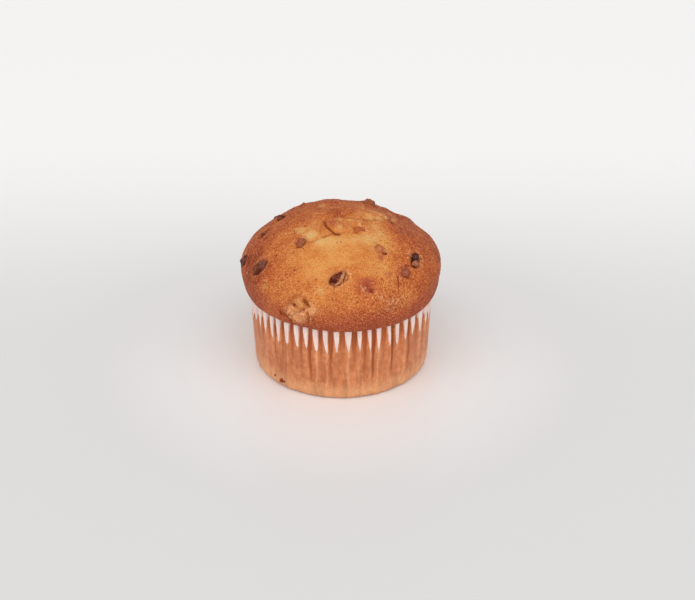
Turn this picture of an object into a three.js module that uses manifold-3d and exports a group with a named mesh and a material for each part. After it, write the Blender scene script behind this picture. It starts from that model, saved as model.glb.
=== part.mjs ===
// A nut muffin baked in a pleated paper case. Millimetres, +Z up.
// The origin is the centre of the case's underside, and azimuths run from the front (-Y) towards +X.
// The cake is one solid: a pleated body inside the case, and a domed crown that spreads over its rim.
// Chopped nuts sit in pockets of the crown, each with a little clearance.
import * as THREE from 'three';
import { mergeVertices } from 'three/addons/utils/BufferGeometryUtils.js';
import Module from 'manifold-3d';

// Driving dimensions
const crownWidth = 82;       // across the widest part of the crown
const totalHeight = 66.9;    // underside of the case to the top of the crown
const widestHeight = 43.5;   // height of the crown's widest part
const domePower = 1.7;       // 2 is an ellipse, and less is more peaked
const caseHeight = 33.4;     // underside of the case to its paper edge
const rimRadius = 37.7;      // outside of the pleats at the paper edge
const footRadius = 36.3;     // outside of the case just above its rounded foot
const footRounding = 2.3;
const paperThickness = 0.35;
const pleatCount = 52;
const pleatDepth = 2.2;      // at the paper edge; it dies away at the foot
const fillHeight = 24;       // the cake fills the ridges up to here, and draws away from them above
const rimFill = 0.25;        // how much of a ridge it still fills at the paper edge
const clearance = 0.35;      // between cake and paper
const nutClearance = 0.35;   // round each nut

// Worked out from them
const crownRadius = crownWidth / 2;
const domeRise = totalHeight - widestHeight;
const undersideHeight = caseHeight + clearance;
const lipInnerRadius = rimRadius + clearance;
const lipOuterRadius = lipInnerRadius + 0.6;
const lipDrop = 0.25;        // how far the lip hangs below the crown's underside

// Mesh fineness
const stepsPerPleat = 3;      // two on the ridge and one in the fold
const crownSteps = 72;
const domeRings = 12;
const flareRings = 4;
const roundingSteps = 2;

const degrees = Math.PI / 180;
const wasm = await Module();
wasm.setup();

const crust = new THREE.MeshStandardMaterial({ color: 0xc47a3e, roughness: 0.62, metalness: 0 });
const paper = new THREE.MeshStandardMaterial({ color: 0xd39a6c, roughness: 0.7, metalness: 0 });
const nutSkin = new THREE.MeshStandardMaterial({ color: 0x6b3a26, roughness: 0.5, metalness: 0 });

// A profile of [radius, height] pairs turned about Z. Step 0 lies at azimuth 0, the front.
function turned(profile, steps) {
  const points = profile.map(([radius, height]) => new THREE.Vector2(radius, height));
  return new THREE.LatheGeometry(points, steps).rotateX(Math.PI / 2);
}

// Moves every vertex by a rule that is given its azimuth, radius and height, and returns the last two.
function reshape(geometry, rule) {
  const position = geometry.getAttribute('position');
  for (let i = 0; i < position.count; i++) {
    const azimuth = Math.atan2(position.getX(i), -position.getY(i));
    const [radius, height] = rule(azimuth, Math.hypot(position.getX(i), position.getY(i)), position.getZ(i));
    position.setXYZ(i, radius * Math.sin(azimuth), -radius * Math.cos(azimuth), height);
  }
  return geometry;
}

function toSolid(geometry) {
  const bare = geometry.clone();
  bare.deleteAttribute('normal');
  bare.deleteAttribute('uv');
  const merged = mergeVertices(bare, 1e-3);
  return new wasm.Manifold(new wasm.Mesh({
    numProp: 3,
    vertProperties: merged.getAttribute('position').array,
    triVerts: new Uint32Array(merged.index.array),
  }));
}

function toGeometry(solid) {
  const mesh = solid.getMesh();
  const geometry = new THREE.BufferGeometry();
  geometry.setAttribute('position', new THREE.BufferAttribute(mesh.vertProperties, 3));
  geometry.setIndex(new THREE.BufferAttribute(mesh.triVerts, 1));
  geometry.computeVertexNormals();
  return geometry;
}

function named(name, geometry, material) {
  const mesh = new THREE.Mesh(geometry, material);
  mesh.name = name;
  return mesh;
}

// ---- Pleats ----

// 0 on both edges of a pleat's outer ridge and 1 in the sharper fold beside it, with straight flanks
// between.
function pleatWave(azimuth) {
  const step = Math.round(azimuth / (2 * Math.PI) * pleatCount * stepsPerPleat);
  return THREE.MathUtils.euclideanModulo(step, stepsPerPleat) === stepsPerPleat - 1 ? 1 : 0;
}

// How far up the wall a height lies: 0 at the top of the rounded foot, 1 at the paper edge.
function wallShare(height) {
  return THREE.MathUtils.clamp((height - footRounding) / (caseHeight - footRounding), 0, 1);
}

// The folds are pressed flat at the foot and stand deepest at the paper edge.
function foldDepth(height) {
  return pleatDepth * wallShare(height);
}

// How much of a ridge the cake fills.
function ridgeFill(height) {
  const drawnAway = THREE.MathUtils.clamp((height - fillHeight) / (caseHeight - fillHeight), 0, 1);
  return 1 - (1 - rimFill) * drawnAway;
}

// The wall's outline from the underside's edge up to its rounded foot, drawn in by an inset.
function footOutline(inset) {
  const radius = footRounding - inset;
  return Array.from({ length: roundingSteps + 1 }, (_, i) => {
    const angle = i / roundingSteps * Math.PI / 2;
    return [footRadius - footRounding + radius * Math.sin(angle), footRounding - radius * Math.cos(angle)];
  });
}

// The wall above the foot.
function wallOutline(inset) {
  return [fillHeight, caseHeight].map((height) => [
    footRadius + (rimRadius - footRadius) * wallShare(height) - inset,
    height,
  ]);
}

// A pleated block that fills the case's outline, drawn in by an inset. Both sides of the paper and the
// cake inside it are this same shape, so their facets lie parallel.
function pleatedBlock(inset, topHeight, fill = () => 1) {
  const profile = [[0, inset], ...footOutline(inset), ...wallOutline(inset)];
  if (topHeight > caseHeight) profile.push([rimRadius - inset, topHeight]);
  profile.push([0, topHeight]);
  return toSolid(reshape(turned(profile, pleatCount * stepsPerPleat), (azimuth, radius, height) => {
    if (radius < footRadius / 2) return [radius, height];
    const wave = pleatWave(azimuth);
    return [radius - foldDepth(height) * (wave + (1 - wave) * (1 - fill(height))), height];
  }));
}

// ---- Paper case: a pleated cup with a flat bottom ----

function makePaperCase() {
  return pleatedBlock(0, caseHeight).subtract(pleatedBlock(paperThickness, caseHeight + 1));
}

// ---- Cake ----

function makeBody() {
  return pleatedBlock(paperThickness + clearance, undersideHeight + 1, ridgeFill);
}

// The crown rose unevenly: low, rounded lobes round its girth, none of them on the lip itself.
function girth(azimuth, height) {
  const lobes = -0.008 * Math.sin(2 * azimuth) + 0.005 * Math.cos(3 * azimuth)
    + 0.003 * Math.sin(6 * azimuth);
  return 1 + lobes * THREE.MathUtils.smoothstep(height, undersideHeight, widestHeight);
}

// The lip sags lower on some sides, and a drop of batter ran down on the left.
function sag(azimuth) {
  const drop = 1.8 * Math.exp(-(((azimuth / degrees + 88) / 9) ** 2));
  return 0.2 + 0.14 * Math.cos(2 * azimuth - 2.4) + 0.06 * Math.cos(5 * azimuth) + drop;
}

function domeHeight(radius) {
  return widestHeight + domeRise * (1 - (radius / crownRadius) ** domePower) ** (1 / domePower);
}

function makeCrown() {
  const profile = [[0, undersideHeight], [lipInnerRadius, undersideHeight]];
  profile.push([lipInnerRadius + 0.2, undersideHeight - lipDrop]);
  for (let i = 0; i <= flareRings; i++) {
    const angle = i / flareRings * Math.PI / 2;
    const bottom = undersideHeight - lipDrop;
    profile.push([
      lipOuterRadius + (crownRadius - lipOuterRadius) * Math.sin(angle) ** 1.3,
      bottom + (widestHeight - bottom) * (1 - Math.cos(angle)),
    ]);
  }
  for (let i = 1; i <= domeRings; i++) {
    const angle = i / domeRings * Math.PI / 2;
    profile.push([
      crownRadius * Math.max(0, Math.cos(angle)) ** (2 / domePower),
      widestHeight + domeRise * Math.sin(angle) ** (2 / domePower),
    ]);
  }
  profile.at(-1)[0] = 0;
  return toSolid(reshape(turned(profile, crownSteps), (azimuth, radius, height) => {
    const onLip = radius > lipInnerRadius + 0.1 && height < undersideHeight;
    return [radius * girth(azimuth, height), onLip ? height - sag(azimuth) : height];
  }));
}

// ---- Chopped nuts ----

// Where each nut shows on the crown: azimuth in degrees, radius from the axis, length, width and
// thickness, how far its middle lies below the crust, and its turn from level towards the summit.
const nutPieces = [
  { azimuth: -1.8, radius: 33.3, size: [9.6, 6.2, 4.8], sunk: 1.1, turn: 42 },
  { azimuth: -62, radius: 37.2, size: [9.2, 6.2, 4.6], sunk: 1.1, turn: 72 },
  { azimuth: -84.2, radius: 40.25, size: [5.8, 5.8, 4.4], sunk: 1.0, turn: 80 },
  { azimuth: -112, radius: 27.0, size: [5.4, 4.4, 4.0], sunk: 0.9, turn: 15 },
  { azimuth: -93.8, radius: 31.8, size: [7.2, 3.4, 3.6], sunk: 1.1, turn: -36 },
  { azimuth: -46.7, radius: 22.3, size: [4.9, 5.6, 4.4], sunk: 1.1, turn: 45 },
  { azimuth: 31, radius: 12.6, size: [6.0, 4.6, 3.8], sunk: 1.2, turn: 12 },
  { azimuth: 38.6, radius: 24.7, size: [5.8, 4.6, 4.2], sunk: 1.3, turn: 55 },
  { azimuth: 60.8, radius: 34.4, size: [8.2, 4.2, 4.6], sunk: 0.9, turn: 28 },
  { azimuth: 46.9, radius: 36.1, size: [5.8, 4.6, 4.2], sunk: 1.1, turn: 50 },
  { azimuth: 16.9, radius: 36.9, size: [6.2, 5.4, 4.0], sunk: 1.8, turn: 10 },
  { azimuth: 145, radius: 19.6, size: [7.4, 5.8, 5.0], sunk: 0.4, turn: 85 },
  { azimuth: 98, radius: 21.8, size: [5.4, 3.8, 3.4], sunk: 0.8, turn: 20 },
  { azimuth: 172, radius: 35.5, size: [7.4, 5.2, 4.4], sunk: 0.9, turn: -25 },
  { azimuth: -150, radius: 32.0, size: [5.8, 5.0, 4.2], sunk: 0.9, turn: 50 },
  { azimuth: -133, radius: 38.0, size: [6.6, 5.0, 4.2], sunk: 1.0, turn: 75 },
  { azimuth: 140, radius: 39.6, size: [6.0, 4.8, 4.2], sunk: 0.9, turn: 20 },
  { azimuth: -170, radius: 33.0, size: [6.2, 4.6, 4.0], sunk: 1.0, turn: -40 },
  { azimuth: 156, radius: 40.3, size: [5.6, 4.4, 3.8], sunk: 1.0, turn: 65 },
];

function crownPoint(azimuth, radius) {
  const height = domeHeight(radius);
  const swollen = radius * girth(azimuth, height);
  return new THREE.Vector3(swollen * Math.sin(azimuth), -swollen * Math.cos(azimuth), height);
}

// A frame on the crown: X runs level round it, Y up towards the summit, and Z out of the crust.
function crownFrame({ azimuth, radius, sunk, turn }) {
  const nearby = 0.5;
  const angle = azimuth * degrees;
  const here = crownPoint(angle, radius);
  const level = new THREE.Vector3(Math.cos(angle), Math.sin(angle), 0);
  const upward = crownPoint(angle, radius - nearby).sub(here).normalize();
  const outward = new THREE.Vector3().crossVectors(level, upward).normalize();
  const frame = new THREE.Matrix4().makeBasis(level, upward, outward);
  frame.multiply(new THREE.Matrix4().makeRotationZ(turn * degrees));
  return frame.setPosition(here.addScaledVector(outward, -sunk));
}

// A broken lump with flat faces: each corner is drawn in by a rule that differs from nut to nut.
// growth is added to every half size, so that a pocket is the same lump made larger.
function nutLump(size, number, growth = 0) {
  const ball = new THREE.DodecahedronGeometry(1);
  const position = ball.getAttribute('position');
  const [halfLength, halfWidth, halfThickness] = size.map((full) => full / 2 + growth);
  for (let i = 0; i < position.count; i++) {
    const [x, y, z] = [position.getX(i), position.getY(i), position.getZ(i)];
    const chipped = 1 - 0.13 * (1 + Math.sin(4 * x + 1.7 * number) * Math.cos(3 * y - 2.3 * z + number));
    position.setXYZ(i, x * halfLength * chipped, y * halfWidth * chipped, z * halfThickness * chipped);
  }
  return ball;
}

const nuts = new THREE.Group();
let cake = makeCrown().add(makeBody());
nutPieces.forEach((piece, i) => {
  const frame = crownFrame(piece);
  const nut = named(`nut_${String(i + 1).padStart(2, '0')}`, nutLump(piece.size, i), nutSkin);
  frame.decompose(nut.position, nut.quaternion, nut.scale);
  nuts.add(nut);
  cake = cake.subtract(toSolid(nutLump(piece.size, i, nutClearance).applyMatrix4(frame)));
});

const muffin = new THREE.Group();
muffin.add(named('cake', toGeometry(cake), crust));
muffin.add(named('paper_case', toGeometry(makePaperCase()), paper));
muffin.add(nuts);

export default muffin;
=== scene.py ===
import math
import random
import bmesh
import bpy
import numpy as np
from mathutils import Matrix, Vector, noise
from mathutils.bvhtree import BVHTree


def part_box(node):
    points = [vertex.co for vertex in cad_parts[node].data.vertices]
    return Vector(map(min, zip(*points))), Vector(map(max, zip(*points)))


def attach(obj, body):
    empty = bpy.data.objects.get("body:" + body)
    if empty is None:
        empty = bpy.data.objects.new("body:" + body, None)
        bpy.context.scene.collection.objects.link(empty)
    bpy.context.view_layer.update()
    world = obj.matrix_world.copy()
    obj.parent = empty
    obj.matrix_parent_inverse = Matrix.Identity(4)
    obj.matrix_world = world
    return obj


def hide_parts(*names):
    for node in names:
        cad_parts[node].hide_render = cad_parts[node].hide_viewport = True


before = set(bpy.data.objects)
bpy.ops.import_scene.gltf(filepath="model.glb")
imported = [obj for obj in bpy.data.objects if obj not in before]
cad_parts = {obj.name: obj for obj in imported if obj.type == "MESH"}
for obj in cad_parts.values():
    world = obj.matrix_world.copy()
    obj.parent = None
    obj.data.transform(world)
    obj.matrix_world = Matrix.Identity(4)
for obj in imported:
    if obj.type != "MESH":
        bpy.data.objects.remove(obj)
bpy.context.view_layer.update()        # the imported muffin: paper case, cake and chopped nuts

# Shapes are worked out in millimetres, and azimuths in degrees from the front (-Y) towards +X.
mm = 0.001


def pick(*things):
    bpy.ops.object.select_all(action="DESELECT")
    for thing in things:
        thing.select_set(True)
    bpy.context.view_layer.objects.active = things[0]


def startEdit(thing):
    pick(thing)
    bpy.ops.object.mode_set(mode="EDIT")
    bpy.ops.mesh.select_all(action="SELECT")


def endEdit():
    bpy.ops.object.mode_set(mode="OBJECT")


def applyModifier(thing, kind, **settings):
    pick(thing)
    modifier = thing.modifiers.new(kind.title(), kind)
    for name, value in settings.items():
        setattr(modifier, name, value)
    bpy.ops.object.modifier_apply(modifier=modifier.name)


def selectWhere(thing, kind, rule):
    # In edit mode: selects only the verts, edges or faces that the rule accepts.
    bpy.ops.mesh.select_mode(type={"verts": "VERT", "edges": "EDGE", "faces": "FACE"}[kind])
    bpy.ops.mesh.select_all(action="DESELECT")
    cage = bmesh.from_edit_mesh(thing.data)
    for item in getattr(cage, kind):
        item.select_set(bool(rule(item)))
    cage.select_flush_mode()
    bmesh.update_edit_mesh(thing.data)


def raiseRings(name, segments, rings):
    # A filled circle, extruded and scaled from ring to ring. Each ring is (radius, height).
    radius, height = rings[0]
    bpy.ops.object.select_all(action="DESELECT")
    bpy.ops.mesh.primitive_circle_add(
        vertices=segments, radius=radius * mm, fill_type="NGON", location=(0, 0, height * mm))
    thing = bpy.context.object
    thing.name = thing.data.name = name
    bpy.ops.object.transform_apply(location=True, rotation=True, scale=True)
    startEdit(thing)
    for nextRadius, nextHeight in rings[1:]:
        rise = (nextHeight - height) * mm
        bpy.ops.mesh.extrude_region_move(TRANSFORM_OT_translate={"value": (0, 0, rise)})
        growth = nextRadius / radius
        middle = (0, 0, nextHeight * mm)
        bpy.ops.transform.resize(value=(growth, growth, 1), center_override=middle)
        radius, height = nextRadius, nextHeight
    return thing


def outwardFaces():
    bpy.ops.mesh.select_all(action="SELECT")
    bpy.ops.mesh.normals_make_consistent(inside=False)


def readVertices(thing, what):
    flat = np.empty(len(thing.data.vertices) * 3)
    thing.data.vertices.foreach_get(what, flat)
    return flat.reshape(-1, 3)


def readPoints(thing):
    return readVertices(thing, "co") / mm


def writePoints(thing, points):
    thing.data.vertices.foreach_set("co", (points * mm).ravel())
    thing.data.update()


def writeMarks(thing, **marks):
    # Numbers at the vertices, which the materials read by their name.
    for name, values in marks.items():
        mark = thing.data.attributes.new(name, "FLOAT", "POINT")
        mark.data.foreach_set("value", np.asarray(values, np.float32))


def ease(values, low, high):
    # 0 below low and 1 above high, with a smooth slope between.
    share = np.clip((values - low) / (high - low), 0, 1)
    return share * share * (3 - 2 * share)


def bell(distance, width):
    # 1 where the distance is 0, dying away over the width on both sides.
    return np.exp(-((distance / width) ** 2))


def ripple(points, size, seed):
    # Smooth noise, from about -1 to 1, with lumps of about this size.
    shift = Vector((17.3, 5.9, 11.1)) * seed
    return np.array([noise.noise(Vector(point) / size + shift) for point in points])


def lumps(points, heightAndSize, seed):
    height, size = heightAndSize
    return height * ripple(points, size, seed)


def creased(points, size, seed):
    # Noise, from -1 to 1, with sharp ridges.
    return 1 - 2 * np.minimum(np.abs(ripple(points, size, seed)) * 1.6, 1)


def polar(points):
    azimuth = np.arctan2(points[:, 0], -points[:, 1])
    return azimuth, np.hypot(points[:, 0], points[:, 1]), points[:, 2]


def fromPolar(azimuth, radius, height):
    return np.stack([radius * np.sin(azimuth), -radius * np.cos(azimuth), height], axis=1)


def apart(azimuth, middle):
    # The angle in degrees between each azimuth, in radians, and one in degrees, the short way round.
    return (np.degrees(azimuth) - middle + 180) % 360 - 180


def finishPiece(thing, slotName, material, *nodes):
    thing.data.materials.clear()
    thing.data.materials.append(material)
    pick(thing)
    bpy.ops.object.shade_smooth()
    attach(thing, "root")
    if nodes:
        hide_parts(*nodes)


def shade(red, green, blue):
    # A display colour, 0 to 255, as the linear colour that a shader takes.
    def linear(level):
        level /= 255
        return level / 12.92 if level <= 0.04045 else ((level + 0.055) / 1.055) ** 2.4
    return (linear(red), linear(green), linear(blue), 1)


class Wire:
    # A socket of a material's nodes, so that shader maths reads as ordinary sums.
    def __init__(self, mat, socket):
        self.mat = mat
        self.socket = socket

    def maths(self, operation, first, second):
        return self.mat.node("Math", {"operation": operation}, {0: first, 1: second})

    def __add__(self, other):
        return self.maths("ADD", self, other)

    def __radd__(self, other):
        return self.maths("ADD", other, self)

    def __sub__(self, other):
        return self.maths("SUBTRACT", self, other)

    def __rsub__(self, other):
        return self.maths("SUBTRACT", other, self)

    def __mul__(self, other):
        return self.maths("MULTIPLY", self, other)

    def __rmul__(self, other):
        return self.maths("MULTIPLY", other, self)


class Material:
    # A material under construction. Its patterns are laid out in millimetres.
    def __init__(self, name):
        self.material = bpy.data.materials.new(name)
        self.material.use_nodes = True
        self.tree = self.material.node_tree
        self.tree.nodes.clear()
        self.place = self.scale(self.node("TexCoord", output="Object"), 1 / mm)

    def node(self, kind, settings=None, sockets=None, output=0):
        made = self.tree.nodes.new("ShaderNode" + kind)
        for name, value in (settings or {}).items():
            if name == "stops":
                elements = made.color_ramp.elements
                elements.remove(elements[1])
                elements[0].position, elements[0].color = value[0]
                for position, color in value[1:]:
                    elements.new(position).color = color
            else:
                setattr(made, name, value)
        for name, value in (sockets or {}).items():
            if isinstance(value, Wire):
                self.tree.links.new(value.socket, made.inputs[name])
            else:
                made.inputs[name].default_value = value
        return Wire(self, made.outputs[output]) if len(made.outputs) else made

    def mark(self, name):
        return self.node("Attribute", {"attribute_name": name}, output="Fac")

    def noise(self, size, detail=2, stretch=(1, 1, 1)):
        place = self.place
        if stretch != (1, 1, 1):
            place = self.node("VectorMath", {"operation": "MULTIPLY"}, {0: place, 1: stretch})
        sockets = {"Vector": place, "Scale": 1 / size, "Detail": detail}
        return self.node("TexNoise", None, sockets, "Fac")

    def cells(self, size):
        sockets = {"Vector": self.place, "Scale": 1 / size}
        return self.node("TexVoronoi", {"feature": "F1"}, sockets, "Distance")

    def ease(self, value, low, high):
        sockets = {"Value": value, "From Min": low, "From Max": high}
        return self.node("MapRange", {"interpolation_type": "SMOOTHSTEP"}, sockets)

    def mix(self, share, first, second):
        return self.node("Mix", {"data_type": "RGBA"}, {0: share, 6: first, 7: second}, 2)

    def ramp(self, value, stops):
        return self.node("ValToRGB", {"stops": stops}, {"Fac": value})

    def scale(self, vector, factor):
        # Also makes a colour brighter or darker.
        return self.node("VectorMath", {"operation": "SCALE"}, {0: vector, "Scale": factor})

    def layer(self, color, layers):
        # Lays display colours over a colour, one after another, each by its share.
        for share, tone in layers:
            color = self.mix(share, color, shade(*tone))
        return color

    def close(self, color, roughness, height, bumpDepth, gloss=0.5):
        # bumpDepth is the relief in millimetres that a height of 1 has.
        bump = self.node("Bump", None, {"Height": height, "Distance": bumpDepth * mm}, "Normal")
        sockets = {"Base Color": color, "Roughness": roughness, "Normal": bump, "Specular IOR Level": gloss}
        surface = self.node("BsdfPrincipled", None, sockets)
        self.node("OutputMaterial", None, {"Surface": surface})
        return self.material


view = {
    "target": (0, 0, 25.8),
    "distance": 700,
    "elevation": 30,
    "focalLength": 87.1,
    "shiftX": 0.0089,
}


def placeCamera():
    elevation = math.radians(view["elevation"])
    back = Vector((0, -math.cos(elevation), math.sin(elevation)))
    target = Vector(view["target"]) * mm
    bpy.ops.object.camera_add(location=target + back * view["distance"] * mm)
    camera = bpy.context.object
    camera.rotation_euler = back.to_track_quat("Z", "Y").to_euler()
    camera.data.lens = view["focalLength"]
    camera.data.shift_x = view["shiftX"]
    camera.data.clip_start = 0.01
    bpy.context.scene.camera = camera


studio = {
    "worldStrength": 0.58,
    "floorColor": shade(228, 227, 226),
    # painted light: the floor is painted lighter round the muffin, softening its shadow, and brighter
    # towards the back
    "nearPaintedLight": shade(243, 241, 240),
    "farPaintedLight": shade(254, 253, 252),
    "paintedLightReach": (110, 45),   # millimetres from the middle, where the painted light round the muffin starts and is full
    "farDistance": 220,       # millimetres behind the muffin, where the floor's painted brightening is full
    "floorSize": 6,
    "floorDrop": 0.1,         # millimetres below the case, so that the two don't share a plane
    "floorRoughness": 0.32,
    # broad soft lamps, far off: the way towards each, its strength and its spread in degrees
    "lamps": [
        {"towards": (-0.5, -0.6, 0.7), "strength": 0.9, "spread": 60},
        {"towards": (0.5, -0.6, 0.7), "strength": 0.9, "spread": 60},
    ],
}


def lightStudio():
    world = bpy.data.worlds.new("studio")
    world.use_nodes = True
    world.node_tree.nodes["Background"].inputs["Color"].default_value = (1, 1, 1, 1)
    world.node_tree.nodes["Background"].inputs["Strength"].default_value = studio["worldStrength"]
    bpy.context.scene.world = world
    for lamp in studio["lamps"]:
        bpy.ops.object.light_add(type="SUN", location=lamp["towards"])
        light = bpy.context.object
        light.rotation_euler = Vector(lamp["towards"]).to_track_quat("Z", "Y").to_euler()
        light.data.energy = lamp["strength"]
        light.data.angle = math.radians(lamp["spread"])
    bpy.context.scene.view_settings.view_transform = "Standard"


def layFloor():
    bpy.ops.object.select_all(action="DESELECT")
    bpy.ops.mesh.primitive_plane_add(size=studio["floorSize"], location=(0, 0, -studio["floorDrop"] * mm))
    floor = bpy.context.object
    floor.name = "floor"
    mat = Material("floorGlaze")
    depth = mat.node("SeparateXYZ", None, {"Vector": mat.place}, "Y")
    near = mat.node("VectorMath", {"operation": "LENGTH"}, {0: mat.place}, "Value")
    # painted light: lighter round the muffin and brighter towards the back
    color = mat.mix(mat.ease(near, *studio["paintedLightReach"]), studio["floorColor"], studio["nearPaintedLight"])
    color = mat.mix(mat.ease(depth, 0, studio["farDistance"]), color, studio["farPaintedLight"])
    floor.data.materials.append(mat.close(color, studio["floorRoughness"], mat.noise(40), 0.02))


placeCamera()
lightStudio()
layFloor()
print("studio ready")


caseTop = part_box("paper_case")[1] / mm
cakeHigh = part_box("cake")[1] / mm

crownShape = {
    "radius": cakeHigh.x,
    "height": cakeHigh.z,
    "widestHeight": 43.5,
    "domePower": 1.7,
    "lipRadius": caseTop.x + 0.95,
    "lipHeight": caseTop.z + 0.1,
    "lipPower": 1.3,
}

domeSteps = 400     # of the outline, down to the crown's widest part
eyeHeight = 30      # the whole crown is in sight from this height on the axis


def crownOutline():
    # Radius and height of the crown, and the distance along its crust, from the summit to the lip.
    angle = np.linspace(math.pi / 2, 0, domeSteps)
    power = 2 / crownShape["domePower"]
    rise = crownShape["height"] - crownShape["widestHeight"]
    drop = crownShape["widestHeight"] - crownShape["lipHeight"]
    flare = crownShape["radius"] - crownShape["lipRadius"]
    domeRadius = crownShape["radius"] * np.maximum(np.cos(angle), 0) ** power
    domeHeight = crownShape["widestHeight"] + rise * np.sin(angle) ** power
    flareRadius = crownShape["lipRadius"] + flare * np.sin(angle[1:]) ** crownShape["lipPower"]
    flareHeight = crownShape["lipHeight"] + drop * (1 - np.cos(angle[1:]))
    radius = np.concatenate([domeRadius, flareRadius])
    height = np.concatenate([domeHeight, flareHeight])
    radius[0] = 0
    reach = np.concatenate([[0], np.cumsum(np.hypot(np.diff(radius), np.diff(height)))])
    return radius, height, reach


outlineRadius, outlineHeight, outlineReach = crownOutline()
outlineAngle = np.arctan2(outlineHeight - eyeHeight, outlineRadius)


def crownRing(reach):
    # Radius and height of the crown, so many millimetres along the crust from the summit.
    return np.interp(reach, outlineReach, outlineRadius), np.interp(reach, outlineReach, outlineHeight)


def crownPoint(azimuth, reach):
    # A place on the smooth crown: azimuth in degrees, and millimetres along the crust from the summit.
    angle = math.radians(azimuth)
    radius, height = crownRing(reach)
    return np.array([radius * math.sin(angle), -radius * math.cos(angle), height])


def crownAxes(azimuth, reach):
    # Three directions at a place on the crown: level to the right, up towards the summit, and outward.
    angle = math.radians(azimuth)
    level = np.array([math.cos(angle), math.sin(angle), 0])
    upward = crownPoint(azimuth, max(reach - 0.5, 0)) - crownPoint(azimuth, reach + 0.5)
    upward /= np.linalg.norm(upward)
    return level, upward, np.cross(level, upward)


def reachOf(radius, height):
    angle = np.arctan2(height - eyeHeight, radius)
    return np.interp(-angle, -outlineAngle, outlineReach)


def girth(azimuth):
    # The crown is a little out of round.
    return 1 - 0.008 * np.sin(2 * azimuth) + 0.005 * np.cos(3 * azimuth) + 0.003 * np.sin(6 * azimuth)


# Where the lip hangs lower, or higher below 0: azimuth, half width in degrees, and drop. The first is a
# tongue on the left.
sags = [(-88, 9, 1.8), (38, 12, 0.3), (-25, 17, -0.5)]


def sag(azimuth):
    drop = sum(depth * bell(apart(azimuth, middle), width) for middle, width, depth in sags)
    return 0.2 + 0.14 * np.cos(2 * azimuth - 2.4) + 0.06 * np.cos(5 * azimuth) + drop


caseShape = {
    "pleats": 52,
    "stepsPerPleat": 18,
    "rows": 32,
    "rimRadius": caseTop.x - 0.1,
    "footRadius": 36.2,
    "footRounding": 2.3,
    "height": caseTop.z,
    "paper": 0.16,            # thickness
    "rimDepth": 2.1,          # of the folds at the paper edge, where the cake leaves the ridges empty
    "wallDepth": 0.6,         # of a strong fold lower down
    "ridgeWidth": 0.4,        # of a pleat, at the edge
    "lowRidgeWidth": 0.62,    # and lower down
    "dryLength": 10.6,        # of the white wedges, down from the edge
    "dryWidth": 0.53,         # of a pleat, at the edge
    "unevenness": 0.8,        # degrees that a ridge may lie to either side
    "wander": 1.3,            # degrees that the folds stray on their way down
    "dents": (0.42, 7),       # height and size of the uneven places, which grow towards the foot
    "crinkles": (0.2, 2.2),
    "crumples": (0.4, 3.2),   # sharp ones, round the foot
    "crumpleHeight": (3, 11),     # where they are full and where they end
    "crest": 0.22,            # how far a pressed line stands out along a ridge
    "crimp": 0.08,            # height of the small pleats under the foot
    "seed": 7,
}

# The front pleats: the azimuth of each ridge, the strength of the fold to its right, the width of
# its dry wedge, how far the wedge leans to the right as it runs down, and how straight its sides are.
frontPleats = [
    (-83.6, 0.5, 2.6, 0, 0.5), (-76.8, 0.4, 2.5, 0, 0.5), (-69.8, 0.6, 2.1, 0, 0.5),
    (-62.6, 0.5, 1.55, 0.05, 0.5), (-56, 0.5, 1.35, 0.1, 0.5), (-48.7, 0.8, 1.2, 0.1, 0.6),
    (-43.5, 0.5, 1.1, 0.1, 0.6), (-36, 0.7, 1.05, 0.1, 0.65), (-29, 0.6, 1, 0.25, 0.7),
    (-22.8, 1.25, 1, 0.3, 0.6), (-16.3, 0.4, 1.1, 0.25, 0.65), (-9.9, 1, 1.05, 0.25, 0.5),
    (-3.2, 0.35, 1.05, 0.05, 0.4), (4.4, 0.6, 1.35, 0, 0.35), (11.4, 0.9, 0.95, 0, 0.45),
    (17.5, 1.25, 0.95, 0.15, 0.4), (23.6, 0.45, 1, 0, 0.4), (30.8, 1.2, 0.9, 0.2, 0.6),
    (36.8, 0.5, 1, 0.2, 0.6), (44.1, 1.1, 1.15, 0, 0.5), (50.6, 0.5, 1.2, 0, 0.5),
    (59.4, 0.6, 1.45, 0, 0.5), (68.6, 0.5, 1.75, 0, 0.5), (75.8, 0.6, 2.1, 0, 0.5),
    (82.9, 0.5, 2.4, 0, 0.5),
]


def layPleats():
    # Every pleat all the way round: its row in the table above, or one like them.
    dice = random.Random(caseShape["seed"])
    rows = list(frontPleats)
    missing = caseShape["pleats"] - len(rows)
    first, last = rows[0][0], rows[-1][0]
    for i in range(1, missing + 1):
        azimuth = last + (first + 360 - last) * i / (missing + 1)
        azimuth += dice.uniform(-1, 1) * caseShape["unevenness"]
        rows.append((azimuth, dice.choice((0.4, 0.6, 0.9, 1.2)), dice.uniform(1.0, 1.3),
                     dice.uniform(0, 0.25), dice.uniform(0.4, 0.7)))
    ridges, strengths, widths, leans, straightness = (np.array(column) for column in zip(*rows))
    valleys = (ridges + np.append(ridges[1:], ridges[0] + 360)) / 2
    stations = np.empty(2 * len(rows) + 1)
    stations[1::2] = ridges
    stations[2::2] = valleys
    stations[0] = valleys[-1] - 360
    lengths = np.array([dice.uniform(0.9, 1.08) for _ in rows])
    crests = np.array([dice.uniform(0.1, 1) for _ in rows])
    ends = 0.25 * (1.25 - strengths) * np.array([dice.uniform(0.5, 1.2) for _ in rows])
    return stations, strengths, widths, leans, 1 - straightness, lengths, crests, ends


# Stations are the azimuths of fold, ridge, fold, ridge and so on. A turn of 1 is one pleat.
stations, foldStrength, dryWidth, dryLean, dryTaper, dryLength, crestStrength, foldEnd = layPleats()
turns = np.arange(len(stations)) / 2


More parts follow.
